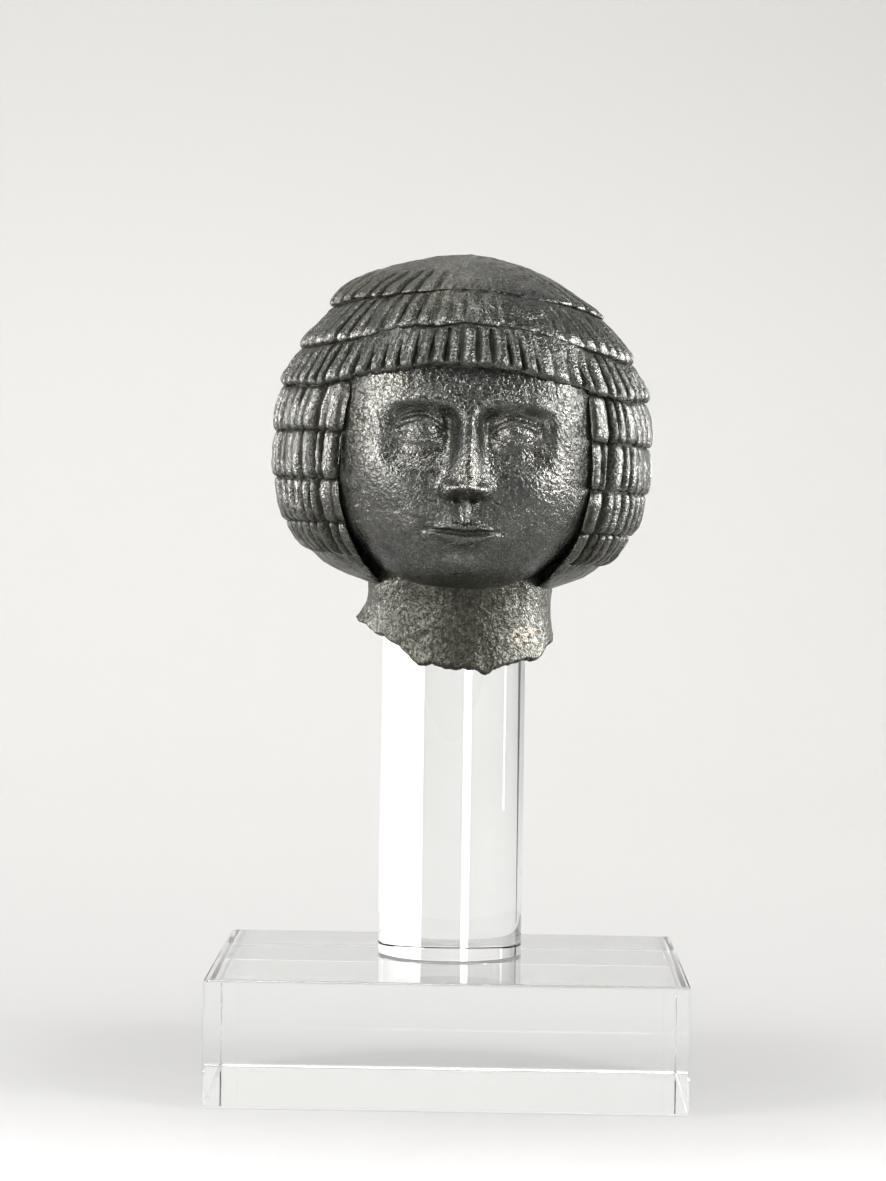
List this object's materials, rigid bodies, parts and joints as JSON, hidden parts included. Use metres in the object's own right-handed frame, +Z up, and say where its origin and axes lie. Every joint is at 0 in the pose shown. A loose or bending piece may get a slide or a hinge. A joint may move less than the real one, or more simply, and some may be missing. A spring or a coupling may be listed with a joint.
{
  "type": "statuette head on a clear stand",
  "caption": "Small broken-off cast bronze head in a round wig of tiered locks, held up by a clear column on a clear block.",
  "frame": {"origin": "middle of the clear block's underside", "axes": "+Z up, the face looks along -Y, +X to the right of someone who looks at the face"},
  "size_m": [0.096, 0.0813, 0.1709],
  "materials": {
    "dark_bronze": "worn cast bronze with a dark, pitted patina, olive in its hollows",
    "clear_acrylic": "clear, colourless and polished on every side"
  },
  "bodies": {
    "root": {"head": "dark_bronze", "column": "clear_acrylic", "base_block": "clear_acrylic"}
  },
  "joints": []
}
